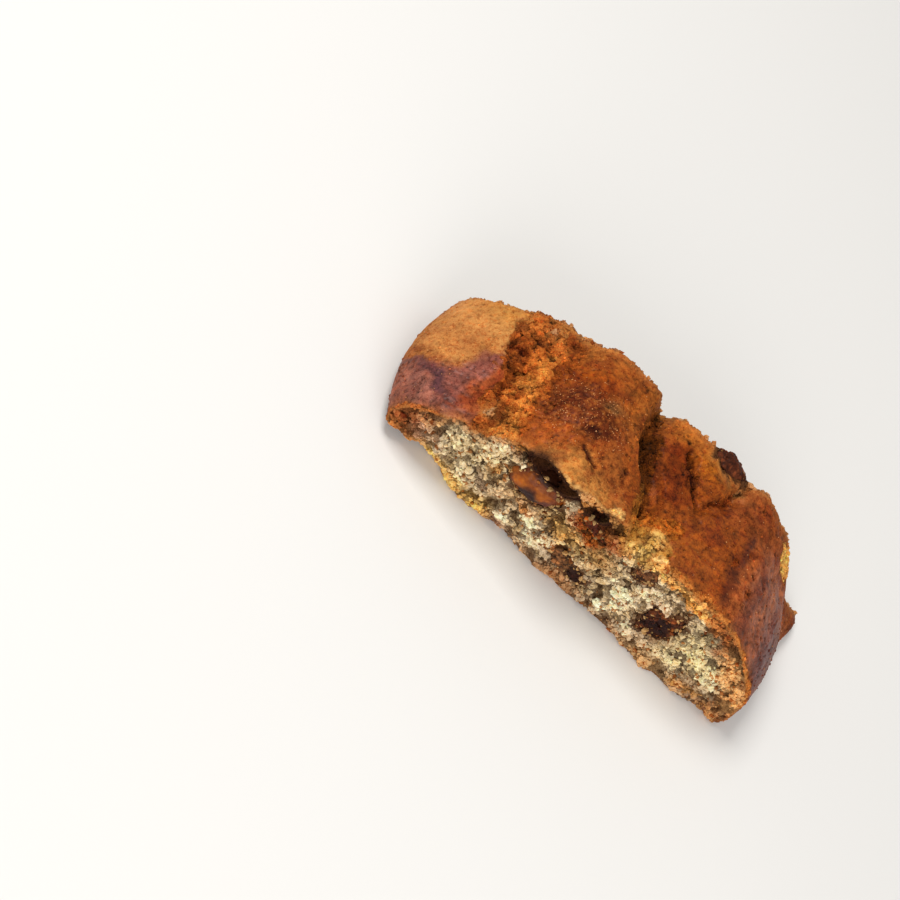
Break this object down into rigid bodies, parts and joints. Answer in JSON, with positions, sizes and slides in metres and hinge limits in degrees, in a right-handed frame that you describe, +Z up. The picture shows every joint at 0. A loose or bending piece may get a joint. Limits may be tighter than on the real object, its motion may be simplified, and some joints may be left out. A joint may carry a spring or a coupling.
{
  "type": "fig cookie",
  "caption": "Thick slice of a baked fig and nut cookie log with a domed, split brown crust and coarse pale crumb; a snack that rests on its flat base.",
  "frame": {"origin": "centre of the slice's bounding box in plan, on the flat base", "axes": "+X along the slice from its left end to its right end as seen from the front cut, +Y from the front cut to the back cut, +Z up from the base"},
  "size_m": [0.1032, 0.0374, 0.0298],
  "materials": {
    "dough": "baked dough, dry and coarse",
    "fig": "dried fruit, slightly glossy",
    "nut": "roasted nut, glossy"
  },
  "bodies": {
    "root": {"biscuit": "dough", "nut_front": "nut", "nut_back": "nut", "fig_front_low": "fig", "fig_front_small": "fig", "fig_front_large": "fig", "fig_notch": "fig", "fig_top": "fig", "fig_back_left": "fig", "fig_back_middle": "fig"}
  },
  "joints": []
}
